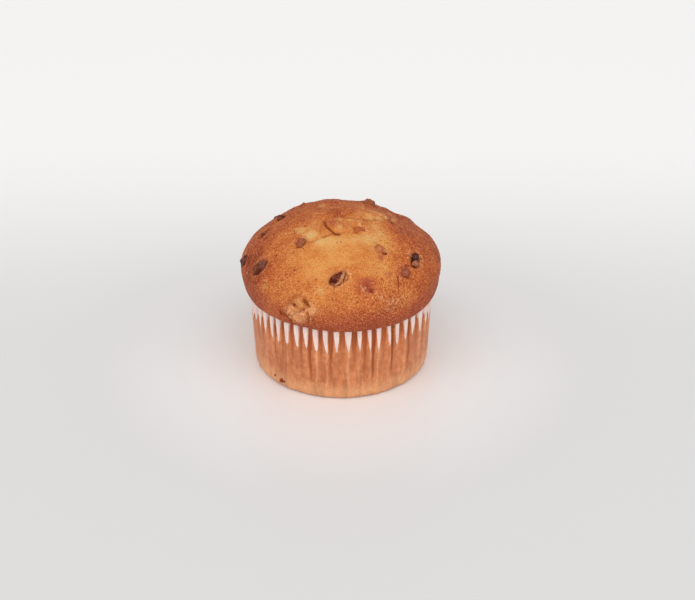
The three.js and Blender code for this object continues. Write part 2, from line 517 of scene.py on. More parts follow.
def pleatAt(azimuth):
    # For azimuths in degrees: the number of the pleat, and how far across it they lie, 0 to 1.
    turn = np.interp((azimuth - stations[0]) % 360 + stations[0], stations, turns)
    number = np.minimum(turn.astype(int), caseShape["pleats"] - 1)
    return number, turn - number


def wallShare(height):
    foot = caseShape["footRounding"]
    return np.clip((height - foot) / (caseShape["height"] - foot), 0, 1)


def dryEdge(number, across, height):
    # Above 0 inside a pleat's white wedge and below 0 outside, in shares of half a pleat.
    length = caseShape["dryLength"] * dryLength[number]
    up = np.clip((height - (caseShape["height"] - length)) / length, -1, 1)
    taper = np.maximum(up, 0) ** dryTaper[number]
    half = np.where(up > 0, taper, up) * caseShape["dryWidth"] * dryWidth[number]
    return half - np.abs(2 * across - 1 - dryLean[number] * (1 - up))


def foldAt(number, across, share):
    # The strength of the nearer fold, which dies out above the foot.
    fold = np.where(across < 0.5, number - 1, number)
    return foldStrength[fold] * ease(share - foldEnd[fold], 0, 0.4)


def foldDepth(number, across, height):
    # How far the paper is folded in from the ridges. The valleys narrow to a crease on their way down.
    share = wallShare(height)
    off = np.abs(2 * across - 1)       # 0 on the ridge and 1 in the fold
    openness = ease(share, 0.5, 1)
    low = caseShape["lowRidgeWidth"]
    ridge = low + (caseShape["ridgeWidth"] * np.minimum(dryWidth[number], 1.3) - low) * openness
    slope = 0.38 - 0.18 * openness
    shallow = caseShape["wallDepth"] * foldAt(number, across, share)
    depth = shallow + (caseShape["rimDepth"] - shallow) * openness
    return depth * ease(off, ridge, ridge + slope)


def wallRadius(height):
    return caseShape["footRadius"] + (caseShape["rimRadius"] - caseShape["footRadius"]) * wallShare(height)


def makeCase():
    rounding = caseShape["footRounding"]
    inner = caseShape["footRadius"] - rounding
    rings = [(inner - 14, 0.35), (inner - 5, 0.1), (inner - 1.5, 0)]
    for step in range(4):
        angle = step / 3 * math.pi / 2
        rings.append((inner + rounding * math.sin(angle), rounding * (1 - math.cos(angle))))
    for row in range(1, caseShape["rows"] + 1):
        height = rounding + (caseShape["height"] - rounding) * row / caseShape["rows"]
        rings.append((wallRadius(height), height))
    columns = caseShape["pleats"] * caseShape["stepsPerPleat"]
    case = raiseRings("baking_case", columns, rings)
    bpy.ops.mesh.delete(type="ONLY_FACE")
    outwardFaces()
    endEdit()

    points = readPoints(case)
    azimuth, radius, height = polar(points)
    column = np.round(azimuth / (2 * math.pi) * columns).astype(int) % columns
    number = column // caseShape["stepsPerPleat"]
    across = column % caseShape["stepsPerPleat"] / caseShape["stepsPerPleat"]
    place = np.radians(np.interp(number + across, turns, stations))
    # the folds stray sideways on their way down, and the paper is crumpled towards the foot
    share = wallShare(height)
    slow = fromPolar(place, radius, height * 0.5)
    place += np.radians(caseShape["wander"]) * ripple(slow, 4.5, 1) * (1 - share ** 2) * ease(radius, 30, 36)
    paper = fromPolar(place, radius, height)
    crumple, size = caseShape["crumples"]
    crumpled = 1 - ease(height, *caseShape["crumpleHeight"])
    dent = lumps(paper, caseShape["dents"], 2) * (1 - share)
    dent += lumps(paper, caseShape["crinkles"], 3) + crumple * creased(paper, size, 4) * crumpled
    crest = bell(2 * across - 1 - dryLean[number], 0.2) * crestStrength[number]
    crest *= ease(share, 0.05, 0.2) * (1 - ease(share, 0.68, 0.8))
    inwards = foldDepth(number, across, height) + dent * 0.6 - caseShape["crest"] * crest
    radius = radius - np.maximum(inwards, -0.12) * ease(radius, 33.5, 36)
    crimp = caseShape["crimp"] * np.cos(across * 2 * math.pi)
    crimp *= ease(radius, 26, 33) * (1 - ease(height, 0.5, 2))
    height = np.maximum(height + crimp, 0)
    writePoints(case, fromPolar(place, radius, height))

    # The fold mark: the paper is greased darker in its folds, and painted shade darkens the creases.
    off = np.abs(2 * across - 1)
    openness = ease(share, 0.5, 1)
    ridge = 0.58 + (caseShape["ridgeWidth"] - 0.58) * openness
    strength = np.clip(0.12 + 0.75 * foldAt(number, across, share) + 0.24 * openness, 0, 1)
    shadow = ease(off, ridge, ridge + 0.4 - 0.14 * openness) * strength
    writeMarks(case, dryEdge=dryEdge(number, across, height), fold=shadow * ease(share, 0, 0.3),
               crest=crest, up=share)
    applyModifier(case, "SOLIDIFY", thickness=caseShape["paper"] * mm, offset=-1)
    return case


def casePaper():
    mat = Material("greasedPaper")
    cloud = mat.noise(8, 2)
    mottle = mat.noise(2.2, 3)
    streak = mat.noise(1.6, 2, (1, 1, 0.3))
    band = mat.noise(3, 1, (1, 1, 0.12))
    fibre = mat.noise(0.45, 2, (1, 1, 0.4))
    dry = mat.ease(mat.mark("dryEdge") + (fibre - 0.5) * 0.16, -0.08, 0.1)
    # greased paper in the folds, with painted shade in the creases
    foldGreaseAndShade = mat.mark("fold") * (0.75 + mottle * 0.5)
    greased = mat.layer(shade(198, 113, 66), [
        (mat.ease(mottle, 0.3, 0.7), (219, 138, 87)),
        (mat.ease(cloud, 0.35, 0.7) * 0.55, (187, 100, 55)),
        (mat.ease(streak, 0.5, 0.75) * 0.4, (224, 150, 104)),
        # lighter towards the foot: partly paler paper, partly painted bounce light from the floor
        ((1 - mat.ease(mat.mark("up"), 0.02, 0.24)) * 0.75, (229, 165, 114)),
        # painted highlight along the pressed lines on the ridges
        (mat.mark("crest") * (0.2 + mottle * 0.7), (234, 170, 126)),
        (mat.ease(foldGreaseAndShade, 0.05, 1) * 0.95, (182, 98, 52)),
    ])
    shades = (fibre - 0.5) * 0.55 + (streak - 0.5) * 0.35 + (band - 0.5) * 0.6
    greased = mat.scale(greased, 1 + shades)
    white = mat.mix(mat.ease(streak, 0.3, 0.7), shade(248, 224, 214), shade(233, 207, 199))
    color = mat.mix(dry, greased, white)
    roughness = 0.4 + dry * 0.25 + (mottle - 0.5) * 0.1
    return mat.close(color, roughness, fibre * 0.3 + mottle * 0.7, 0.16, 0.35)


case = makeCase()
finishPiece(case, "paper", casePaper(), "paper_case")
print("paper case ready:", len(case.data.polygons), "faces")


nutTones = {
    "maroon": (108, 30, 14),
    "umber": (118, 56, 34),
    "black": (58, 20, 14),
    "plum": (140, 78, 60),
    "rosy": (166, 88, 60),
    "amber": (194, 104, 54),
    "wine": (160, 62, 46),
    "tan": (198, 136, 96),
    "oak": (156, 92, 58),
    "mauve": (128, 78, 66),
    "chestnut": (148, 74, 38),
    "biscuit": (202, 120, 72),
    "hazel": (170, 108, 78),
}

# Each nut in turn: its skin, its bare flesh, the way to the flesh side (degrees from level towards
# the summit), how far over the flesh begins (-1 to 1), where a slit runs across if there is one, and
# how much of the nut shows: 1 stands clear of the crust, and 0 is baked over.
nutLooks = [
    ("maroon", "tan", -26, 0.2, 0.78, 1),
    ("umber", "mauve", 60, 0.2, None, 0.75),
    ("black", "mauve", -30, -0.1, None, 0.8),
    ("umber", "rosy", -160, 0.2, None, 0.6),
    ("umber", "oak", 120, 0.2, None, 0.6),
    ("rosy", "oak", -40, 0.5, None, 0.5),
    ("amber", "rosy", 60, 0.6, None, 0.15),
    ("biscuit", "hazel", 20, 0.3, None, 0.15),
    ("black", "hazel", -100, 0.45, None, 1),
    ("rosy", "plum", -20, 0.1, None, 0.5),
    ("wine", "rosy", 150, 0.1, None, 0.1),
    ("plum", "oak", 90, -0.2, None, 0.6),
    ("biscuit", "tan", 60, -0.1, None, 0.15),
    ("umber", "tan", 30, 0.1, 0.6, 0.8),
    ("rosy", "oak", 90, 0.2, None, 0.5),
    ("black", "oak", -60, 0.3, None, 0.8),
    ("plum", "tan", 150, 0.2, None, 0.5),
    ("maroon", "tan", -30, 0.1, None, 0.7),
    ("umber", "oak", 60, 0.2, None, 0.5),
]

nutShape = {
    "chamfer": 0.5,
    "fineness": 0.2,
    "rounding": 4,            # rounds of smoothing
    "unevenness": (0.42, 1.5),    # height and size of its lumps
    "grain": (0.06, 0.6),
    "swelling": 0.25,         # of a nut that stands clear
    "wrinkle": 0.34,
    "wrinkleSize": 1.5,
    "slitDepth": 0.9,
    "slitWidth": 0.1,         # in shares of half a nut
    "bend": 3.4,              # radius of the line between skin and flesh
}


def dropSpecks(thing):
    # Keeps only the biggest part. A remesh can leave a speck of a few faces beside a small shape.
    startEdit(thing)
    bpy.ops.mesh.separate(type="LOOSE")
    endEdit()
    parts = sorted(bpy.context.selected_objects, key=lambda part: len(part.data.vertices))
    thing.data = parts[-1].data
    for part in parts:
        if part != thing:
            bpy.data.objects.remove(part)


def makeNut(node, number, looks):
    nut = bpy.data.objects.new(node.replace("nut", "walnut"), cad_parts[node].data.copy())
    bpy.context.scene.collection.objects.link(nut)
    startEdit(nut)
    bpy.ops.mesh.remove_doubles(threshold=0.001 * mm)
    bpy.ops.mesh.dissolve_limited(angle_limit=math.radians(12))
    bpy.ops.mesh.bevel(offset=nutShape["chamfer"] * mm, segments=3)
    outwardFaces()
    endEdit()
    applyModifier(nut, "TRIANGULATE")
    applyModifier(nut, "REMESH", mode="VOXEL", voxel_size=nutShape["fineness"] * mm)
    dropSpecks(nut)
    applyModifier(nut, "SMOOTH", factor=0.5, iterations=nutShape["rounding"])

    side, edge, slit, showing = looks
    points = readPoints(nut)
    middle = points.mean(axis=0)
    angle, radius, height = polar(middle[None])
    level, upward, outward = crownAxes(math.degrees(angle[0]), float(reachOf(radius, height)[0]))
    way = level * math.cos(math.radians(side)) + upward * math.sin(math.radians(side))
    spread = points - middle
    spread -= np.outer(spread @ outward, outward)
    along = np.linalg.norm(spread + nutShape["bend"] * way, axis=1) - nutShape["bend"]
    along /= np.abs(along).max()
    across = spread @ np.cross(outward, way)
    across /= np.abs(across).max()
    wrinkles = creased(points, nutShape["wrinkleSize"], number + 3)
    depth = nutShape["swelling"] * showing + nutShape["wrinkle"] * wrinkles * (0.4 + 0.6 * showing)
    depth += lumps(points, nutShape["unevenness"], number + 40) + lumps(points, nutShape["grain"], number)
    groove = beyond = np.zeros(len(points))
    if slit is not None:
        stray = 0.12 * ripple(points, 2.5, number + 5)
        end = ease(across, -0.3, 0.3)
        groove = bell(along - slit + stray, nutShape["slitWidth"]) * end
        beyond = ease(along + stray, slit + 0.06, slit + 0.14) * end
    depth -= nutShape["slitDepth"] * groove
    writePoints(nut, points + readVertices(nut, "normal") * depth[:, None])
    bare = ease(along + 0.4 * ripple(points, 1.8, number + 9), edge - 0.15, edge + 0.15)
    # sheen is a painted highlight down the middle of the nut, and edge is painted shade along its sides;
    # together they give how much it shows
    middling = bell(across, 0.5)
    writeMarks(nut, flesh=bare, wrinkle=wrinkles, slit=groove, crusted=beyond,
               sheen=middling * showing, edge=(1 - middling) * showing)
    return nut


def nutSkin(skin, flesh):
    mat = Material(skin + flesh.title() + "Nut")
    tone = nutTones[skin]
    darker = tuple(level * 0.58 for level in tone)
    highlightTone = tuple(level * 0.5 + extra for level, extra in zip(tone, (92, 66, 60)))
    grain = mat.noise(0.4, 2)
    wrinkle = mat.mark("wrinkle")
    showing = mat.mark("sheen") + mat.mark("edge")
    blotch = mat.ease(mat.noise(1.4, 2), 0.4, 0.65) * (0.3 + showing * 0.7)
    shine = mat.ease(mat.noise(0.75) + mat.mark("sheen") * 0.16, 0.54, 0.72)
    color = mat.layer(shade(*tone), [
        (blotch, darker),
        # painted highlights on the wrinkle ridges and in small specks
        (mat.ease(wrinkle, 0.3, 0.95) * 0.2 + shine * 0.6, highlightTone),
        # painted shade along the nut's sides
        (mat.ease(mat.mark("edge"), 0.3, 0.85) * 0.65, darker),
    ])
    pale = mat.mix(mat.ease(wrinkle, 0.5, -0.3) * 0.6, shade(*nutTones[flesh]), shade(*tone))
    color = mat.mix(mat.mark("flesh"), color, pale)
    color = mat.layer(color, [
        (mat.mark("crusted"), (222, 146, 92)),
        # painted shade in the slit
        (mat.mark("slit") * 0.9, (64, 24, 8)),
    ])
    color = mat.scale(color, 1 + (grain - 0.5) * 1.1)
    return mat.close(color, 0.4 + grain * 0.2, grain, 0.16, 0.06)


nutSkins = {}
nuts = []
for number, (skin, flesh, *looks) in enumerate(nutLooks):
    if (skin, flesh) not in nutSkins:
        nutSkins[skin, flesh] = nutSkin(skin, flesh)
    node = f"nut_{number + 1:02d}"
    nut = makeNut(node, number, looks)
    finishPiece(nut, "nut", nutSkins[skin, flesh], node)
    nuts.append((nut, looks[-1]))
print("nuts ready:", len(nuts), "with", sum(len(nut.data.polygons) for nut, showing in nuts), "faces")


cakeShape = {
    "segments": 144,
    "ringStep": 1.65,
    "capRadius": 25,          # the summit inside this radius is a grid of squares
    "subdivisions": 2,
    "wallHeights": (2.4, 12, 21, 28, 33.2),
    "lipRings": ((-0.4, 0.35), (0.35, 0.4), (0.5, 0.1)),      # outwards and up from the paper edge
    "gap": 0.5,               # between cake and paper
    "hollow": 1,              # how far the cake draws away from the dry wedges
    "goldenPlace": (-5, 25),  # where it baked least
    "goldenReach": 44,        # millimetres from there to where it is brown
    "brownest": 0.9,          # the browning that is never passed, away from the lip
    "heaves": (0.5, 13),      # height and size of the crust's uneven places, coarse to fine
    "dimples": (0.22, 5),
    "flow": (0.3, 2.8),       # drawn out sideways, round the summit
    "grain": (0.12, 1.7),
    "fineGrain": (0.07, 0.95),
    "crumb": (0.42, 1.3),     # where it is torn
    "fineCrumb": (0.2, 0.8),
    "grainAndGlintPlace": (30.5, 49, 8),      # azimuth, reach and radius of the coarsest grain, which also carries painted glints
    "scattered": 34,          # small holes on the far side
    "seed": 5,
    "gapDepth": 0.7,          # of the gap that the crust left round a nut
    "rimHeight": 0.3,         # of the rim beside the gap
    "rimPlace": 1.5,          # distance from the nut
    "rimWidth": 0.5,
    "dip": 0.6,               # of the crust over a nut that is baked in
    "gloom": 0.8,             # how much painted shade fills the gap
}

# Creases in the crust. Each has places along it, its width, its depth and how much painted shade lies in it.
creases = [
    ([(-50, 9), (-39.6, 10.4), (-28.9, 11.6), (-20, 12.8), (-13.3, 13.8), (-8.5, 14.6)], 0.5, 0.8, 0.9),
    ([(-8.5, 14.6), (-3.4, 14.6)], 0.75, 0.8, 0.9),
    ([(-2.8, 14.5), (5.9, 13.3), (15.5, 13.9)], 0.45, 0.3, 0.3),
    ([(-14.3, 14.5), (-20, 15.9), (-25.1, 17.1)], 0.6, 0.45, 0.6),
    ([(-25.1, 17.1), (-29.6, 18.4), (-35.3, 20.8), (-38.5, 21.7)], 0.55, 0.4, 0.45),
    ([(-56.3, 8.4), (-54.2, 5.7), (-30, 4.3), (-1.4, 5.5), (8.8, 9.7), (3.1, 12.6)], 0.8, 0.4, 0.2),
    ([(10, 2.8), (38.2, 4.3), (51.7, 6.7), (63.7, 9.5), (77.2, 11.5), (85.5, 15.4)], 1, 0.75, 0.45),
    ([(60, 2.2), (88.9, 4.5), (112, 6)], 0.8, 0.3, 0.35),
    ([(95.5, 19.8), (92.9, 21.3), (91.3, 22.9), (91.5, 25)], 0.75, 0.9, 1),
    ([(39.2, 39.8), (38.1, 40.8), (36.5, 43.7)], 0.4, 0.5, 0.7),
    ([(37.2, 24.6), (39.6, 23.9), (42.1, 24.1), (44.1, 25.7), (42.4, 27.2), (40.6, 28.4)], 0.45, 0.4, 0.4),
    ([(50.5, 36.9), (52, 37.6), (54, 39.2), (58.6, 39.3)], 0.45, 0.4, 0.6),
    ([(-27, 45.2), (-29.5, 46.4), (-30.4, 48.2), (-30.8, 50.4), (-31.6, 52.8)], 0.6, 0.5, 0.45),
    ([(-28.6, 47.6), (-27.9, 46.3), (-26, 45.2), (-23, 44.8), (-21.5, 45.4)], 0.55, 0.35, 0.4),
    ([(-24, 52), (-22.8, 51), (-20.5, 49.9)], 0.45, 0.5, 0.7),
    ([(-36, 54.2), (-35.2, 55.3)], 0.6, 0.45, 0.8),
    ([(-33.4, 54.4), (-31.3, 56.2), (-29.7, 56.9), (-29.9, 58.6)], 0.7, 0.55, 0.7),
    ([(-19, 50.4), (-18.4, 51.7), (-17.8, 53.1), (-18.4, 54.8), (-19.7, 59.5)], 0.45, 0.5, 0.6),
    ([(-21.3, 46.3), (-19.8, 47.4), (-18.5, 48.5)], 0.85, 1, 0.8),
    ([(-15.6, 53.6), (-16.1, 58)], 0.55, 0.3, 0.4),
    ([(-4.5, 39.5), (-4.4, 42.5)], 0.4, 0.25, 0.5),
    ([(-89, 36), (-94, 34), (-98, 32)], 0.7, 0.5, 0.7),
    ([(120, 30), (128, 33.5), (140, 35), (152, 33.8)], 0.7, 0.5, 0.5),
    ([(-120, 44), (-126, 47.5), (-124, 51)], 0.6, 0.5, 0.6),
    ([(165, 44), (170, 49), (168, 55)], 0.5, 0.5, 0.6),
    ([(-175, 12), (-160, 15), (-150, 20)], 0.7, 0.4, 0.4),
]

# Rounded swellings and hollows: place, half length and half width, turn from level, and rise.
swellings = [
    ((-19, 9), (5.8, 3.8), -28, 1),
    ((-25, 50.6), (5.4, 5), 0, -0.6),
    ((-24.8, 47.9), (3.6, 2.9), 0, 1.2),
    ((-26.6, 51.2), (2.8, 1.7), 0, 0.6),
    ((-30.3, 52.5), (1.2, 1.6), 0, 0.7),
    ((-22, 53.2), (2, 1.7), 0, 0.6),
    ((-17, 55), (5, 0.9), 90, 0.45),
    ((100.5, 13.2), (6.5, 2.6), 90, 0.6),
    ((99, 23.4), (2.4, 1.8), 40, 0.7),
    ((116, 29), (17, 11), 0, -1.2),
    ((-144, 24.5), (8, 6), 0, -1.2),
    ((141, 26), (15, 4.5), -51, -1),
    ((130, 32.5), (15, 5), -40, -0.8),
    ((112, 38.5), (13, 5), -22, -0.9),
    ((167, 22.5), (13, 8), -77, -0.6),
    ((150.5, 19.2), (2, 2.4), 0, 0.8),
    ((-112, 31), (5, 3), 0, 0.4),
    ((150, 28), (7, 4), 20, 0.5),
    ((-150, 42), (6, 4), -15, 0.5),
    ((75, 47), (6, 4), 10, 0.35),
]

# Where the crust is torn off its crumb, but for a knob: azimuth, reach, radius and strength.
tornPlaces = [(-26, 52.6, 4.8, 1), (-16.6, 49.8, 2.6, 0.8)]
tornKnob = (-24.8, 47.9, 2.8)

# Crust that crept over the edge of a nut: azimuth, reach, radius and rise.
covers = [
    (-4.4, 33, 1.5, 0.8), (-66.5, 43.4, 1.5, 0.6), (14.2, 39.2, 2.2, 0.7), (12.8, 41.4, 1.6, 0.5),
    (54.6, 36, 1.2, 0.5),
]

# Where it baked browner, or less brown below 0: azimuth, reach, radius and by how much.
browning = [
    (46, 23, 5, -0.38), (70, 17, 4, -0.2), (35, 29.6, 5, -0.18), (30, 34.5, 4.5, -0.3),
    (-74.3, 43.2, 5.5, 0.3), (-66, 46.5, 5, 0.28), (-60, 49.8, 5, 0.18), (13.2, 40.6, 4, 0.22),
    (11, 52.5, 5, 0.1), (26, 54, 5, 0.1), (84, 29, 5, 0.14), (-14, 9.4, 2.4, 0.45), (-30, 42, 5, -0.1),
    (-88, 32, 5, 0.14), (-18.3, 34, 4.5, -0.35), (-41.7, 29, 5, -0.16), (-14.4, 46, 5, -0.14),
    (-1.9, 45.4, 5, -0.06), (38.5, 50.6, 5, -0.36), (92, 8, 4, -0.2), (-40, 49, 5, -0.1),
    (-62, 30, 4, 0.06), (60, 22, 4.5, -0.18), (-51.4, 2.2, 3.4, 0.5), (-14, 50.9, 4.5, -0.2),
    (-45.5, 57.8, 4.5, -0.5), (-72, 39.5, 4, 0.1), (-71, 25, 4.5, -0.14), (-22, 13.5, 2.5, -0.1),
    (80, 26, 5, 0.1), (-57, 43.5, 5, 0.12),
]

# Small holes, painted dark with shade: azimuth, reach, radius and depth.
pits = [
    (-65.6, 16.4, 0.5, 0.45), (-67.5, 21, 0.45, 0.4), (-63.5, 21.6, 0.4, 0.35), (-44, 28.5, 0.45, 0.4),
    (-38.5, 25.2, 0.4, 0.3), (-5.3, 19.2, 0.4, 0.25), (-0.5, 18.7, 0.4, 0.25), (-56.4, 33.3, 0.65, 0.55),
    (-34.1, 35.5, 0.5, 0.4), (-39.7, 41.1, 0.45, 0.35), (-26.6, 48.8, 0.8, 1.3), (27.2, 38.5, 0.5, 0.3),
    (88.9, 4.5, 0.45, 0.4), (-72, 38.5, 0.5, 0.35), (-76, 44.5, 0.7, 0.4), (18.4, 42, 0.6, 0.4),
    (-69, 39.2, 0.5, 0.3), (40.1, 28.4, 0.6, 0.4), (-36, 55.6, 0.5, 0.5), (-27.7, 39.4, 0.4, 0.3),
    (-30.6, 54.4, 0.6, 0.5), (-28.8, 54.6, 0.45, 0.4), (-30.4, 57.6, 0.45, 0.4), (-27.1, 56.7, 0.4, 0.4),
    (-16.8, 37.3, 0.4, 0.3), (6.1, 44.7, 0.4, 0.25), (39.1, 13.2, 0.5, 0.4),
]

# Places where the crust stayed pale, baked reddish, or took colour from a nut: azimuth, reach,
# radius and strength.
paleSpots = [
    (-43, 18.2, 3.2, 1.2), (-49.5, 18.9, 2.2, 0.9), (-60.8, 18.6, 2.6, 0.9), (-67.5, 20, 2, 0.7),
    (-24, 19.6, 3.6, 1), (86, 11.5, 2.8, 0.9), (90, 15.5, 2.4, 0.9), (-10, 9.4, 2.2, 0.5),
    (-16.3, 18.6, 3.4, 1), (-9.6, 19, 3.4, 0.85), (-2.2, 18.6, 3.4, 0.6), (5.2, 17.4, 3.4, 0.55),
    (14.4, 18.6, 3.8, 0.6), (24, 17.9, 3.4, 0.7), (34.4, 19.6, 4.2, 0.95), (-12.3, 22, 3.4, 0.5),
    (44, 20.5, 3.4, 0.7), (52.4, 19.4, 3.8, 0.65), (58, 18.8, 2.8, 0.6), (60.8, 16.3, 2.8, 0.65),
    (62.1, 14.2, 2.8, 0.6), (-10, 6.1, 2.2, 0.8), (6, 7.6, 2, 0.5), (-2.7, 11.3, 2, 0.7),
    (96.8, 18.7, 1.6, 1), (105, 13.1, 2.8, 0.8), (101, 16.4, 2.2, 0.8), (124.6, 10.3, 3, 0.5),
    (55, 9.4, 2.2, 0.8), (39, 6.6, 2.2, 0.7), (72, 14.5, 2, 0.6), (92, 7.6, 2.4, 0.6),
    (78, 14.8, 2.6, 0.55), (34, 25, 3, 0.5), (47, 27.5, 3, 0.5), (43, 28, 1.2, 0.8),
    (-12.9, 41.5, 1.8, 0.9), (-50.3, 46.8, 2.8, 0.6), (-50.5, 43.8, 2, 0.5), (-24.8, 47.4, 2.6, 0.62),
    (-22.1, 48.3, 1.3, 0.8), (-27, 51.2, 2, 0.6), (-17.3, 51.8, 0.9, 0.8), (-17.4, 56, 1.1, 0.8),
    (-60, 12, 3, 0.4), (-52, 14, 3, 0.45), (-142.3, 13, 2.6, 0.6), (150, 36, 4, 0.5), (-165, 28, 4.5, 0.5),
    (120, 24, 3.5, 0.5), (-120, 42, 3, 0.5), (-53.7, 14.9, 2.4, 0.6),
]
redSpots = [
    (16.8, 40, 3.6, 1), (-44, 7.9, 2.4, 0.6), (-32, 9, 2.6, 0.6), (-22, 9.8, 2, 0.6),
    (-19.7, 7.4, 1.6, 0.6), (14.7, 10, 2.8, 0.45), (60, 12, 1.8, 0.35), (110, 22, 2.8, 0.8),
    (78.6, 22.8, 3, 0.5), (81, 26.4, 3.2, 0.4), (79.1, 29.4, 3.4, 0.2), (33, 37.4, 2, 0.6),
    (36, 29.6, 2, 0.7), (-80, 41, 5, 0.5), (-88, 34, 3.5, 0.5), (96, 6, 4, 0.4), (-47, 26.8, 1.8, 0.4),
    (-70, 38.8, 1.6, 0.4), (-79.5, 43.9, 2.4, 1), (-74, 44.6, 2.6, 1), (-78, 48, 2.6, 0.6),
    (-75.7, 52.3, 3, 0.5), (-4.2, 33.4, 2, 0.4), (2.6, 32.3, 1.4, 0.4), (-13.5, 49.6, 3, 0.5),
    (-22.5, 57.9, 3, 0.8), (-28.6, 58.1, 2.5, 0.8), (48, 52, 3, 0.4), (43.6, 36.6, 2.4, 0.5),
    (52.5, 37.9, 2, 0.5), (42.5, 38.8, 2, 0.9), (16, 39.5, 2.8, 1.9), (18, 41.8, 2, 1.4),
    (39, 26, 2.4, 0.7), (34.5, 29.7, 1.6, 1.1), (-83, 36, 4, 0.5),
]
stains = [
    (-79.2, 43.6, 1.8, 0.7), (-76.2, 44.2, 1.5, 0.65), (-75, 46, 1.2, 0.6), (-78, 41.6, 1.1, 0.55),
    (-4.4, 33.4, 1.3, 0.35), (2.6, 32.2, 0.8, 0.3), (40.7, 37.7, 0.6, 0.55), (42.8, 36.7, 0.6, 0.65),
    (45.6, 36.8, 0.7, 0.55), (57.2, 33.8, 0.8, 0.6), (33.9, 28.9, 0.7, 0.35), (39.6, 31.7, 0.8, 0.45),
    (46.5, 12, 0.6, 0.6), (39.2, 15, 0.6, 0.5), (-19.5, 8.3, 1.4, 0.25), (16.8, 41.3, 1.6, 0.4),
    (18.3, 42.3, 0.8, 0.8), (34.3, 37.1, 0.55, 0.55), (35.5, 38, 0.5, 0.5), (30.3, 36.7, 0.5, 0.45),
    (37.8, 25.9, 0.5, 0.6), (-26.6, 48.8, 0.9, 1), (-68.2, 20.9, 0.5, 0.6), (-65.6, 16.4, 0.6, 0.7),
]

# Painted glints on small raised bits of crust: azimuth and reach. Thin pale scratches: each a line through
# places.
glintRadius = 0.55
scratchWidth = 0.3
glints = [
    (4.8, 34.1), (6.4, 34.4), (2.8, 36.2), (5.9, 36), (0.5, 38.8), (-17.7, 47.1), (-16, 47.9),
    (-19.5, 50.3), (-17.3, 51.6), (-28.4, 53.6), (-30.1, 52.2), (-17.1, 53.6), (-30.4, 50.4), (-22.4, 52.3),
    (-25.9, 55.8), (12.9, 41.3), (14.6, 40.8), (-71, 47.5), (58.3, 33.4), (55.6, 34.9), (65.7, 37.4),
    (42.2, 11), (41, 12.2), (44.9, 14.4), (42.3, 15.9), (41, 15.6), (43, 26.6),
]
scratches = [
    [(21, 42.6), (21.6, 45.6), (23.6, 44.8), (24.4, 47.4)], [(25.8, 46.4), (28.2, 49.4), (30.6, 47.6)],
    [(31.4, 49.8), (33.4, 48.2), (35.4, 49.6)], [(18.2, 44.6), (19.4, 47.2)], [(37.2, 47.4), (38.8, 49.8)],
    [(11.8, 39.6), (13, 41.6), (14, 43)], [(-66.8, 40.6), (-64.4, 40.2)], [(24.6, 50.4), (28, 51.6)],
]


def nearPlace(points, azimuth, reach, radius):
    return bell(np.linalg.norm(points - crownPoint(azimuth, reach), axis=1), radius)


def patches(points, spots):
    # The strongest of the spots at each point. Each is an azimuth, a reach, a radius and a strength.
    strongest = np.zeros(len(points))
    for azimuth, reach, radius, strength in spots:
        np.maximum(strongest, strength * nearPlace(points, azimuth, reach, radius), out=strongest)
    return strongest


def alongPath(points, path):
    # Each point's distance to a line through places on the crown.
    corners = [crownPoint(*place) for place in path]
    nearest = np.full(len(points), np.inf)
    for start, end in zip(corners, corners[1:]):
        run = end - start
        share = np.clip((points - start) @ run / (run @ run), 0, 1)
        nearest = np.minimum(nearest, np.linalg.norm(points - start - share[:, None] * run, axis=1))
    return nearest


def swell(points, place, size, turn):
    # 1 at the middle of an oval on the crown, and 0 outside it.
    level, upward, outward = crownAxes(*place)
    lean = math.radians(turn)
    long = level * math.cos(lean) + upward * math.sin(lean)
    wide = upward * math.cos(lean) - level * math.sin(lean)
    away = points - crownPoint(*place)
    off = np.sqrt((away @ long / size[0]) ** 2 + (away @ wide / size[1]) ** 2 + (away @ outward / 6) ** 2)
    return 1 - ease(off, 0.35, 1.05)


def makeCakeCage():
    gap = cakeShape["gap"] + caseShape["paper"]
    foot = caseShape["footRadius"] - caseShape["footRounding"]
    rounding = caseShape["footRounding"] - gap
    rings = [(foot, gap), (foot + rounding * 0.71, gap + rounding * 0.29)]
    rings += [(wallRadius(height) - gap, height) for height in cakeShape["wallHeights"]]
    rings += [(caseTop.x + outwards, caseTop.z + up) for outwards, up in cakeShape["lipRings"]]
    domeRadius, domeHeight = outlineRadius[:domeSteps], outlineHeight[:domeSteps]
    start = np.interp(cakeShape["capRadius"], domeRadius, outlineReach[:domeSteps])
    count = int((outlineReach[-1] - cakeShape["capRadius"]) / cakeShape["ringStep"])
    rings += [crownRing(reach) for reach in np.linspace(outlineReach[-1], start, count)]
    cake = raiseRings("muffin_cake", cakeShape["segments"], rings)

    # the cap is filled with squares, which are laid on the dome
    capRadius, capHeight = rings[-1]
    inside = capRadius - 0.05
    lowest = (capHeight - 0.01) * mm
    bpy.ops.mesh.delete(type="ONLY_FACE")
    selectWhere(cake, "edges", lambda edge: all(vert.co.z > lowest for vert in edge.verts))
    bpy.ops.mesh.fill_grid(span=cakeShape["segments"] // 4)
    selectWhere(cake, "verts", lambda vert: vert.co.z > lowest and vert.co.xy.length < inside * mm)
    bpy.ops.mesh.vertices_smooth(factor=0.5, repeat=30)
    outwardFaces()
    endEdit()
    points = readPoints(cake)
    azimuth, radius, height = polar(points)
    inCap = (radius < inside) & (height > capHeight - 0.5)
    points[inCap, 2] = np.interp(radius[inCap], domeRadius, domeHeight)
    writePoints(cake, points)
    applyModifier(cake, "SUBSURF", levels=cakeShape["subdivisions"], render_levels=cakeShape["subdivisions"])
    return cake


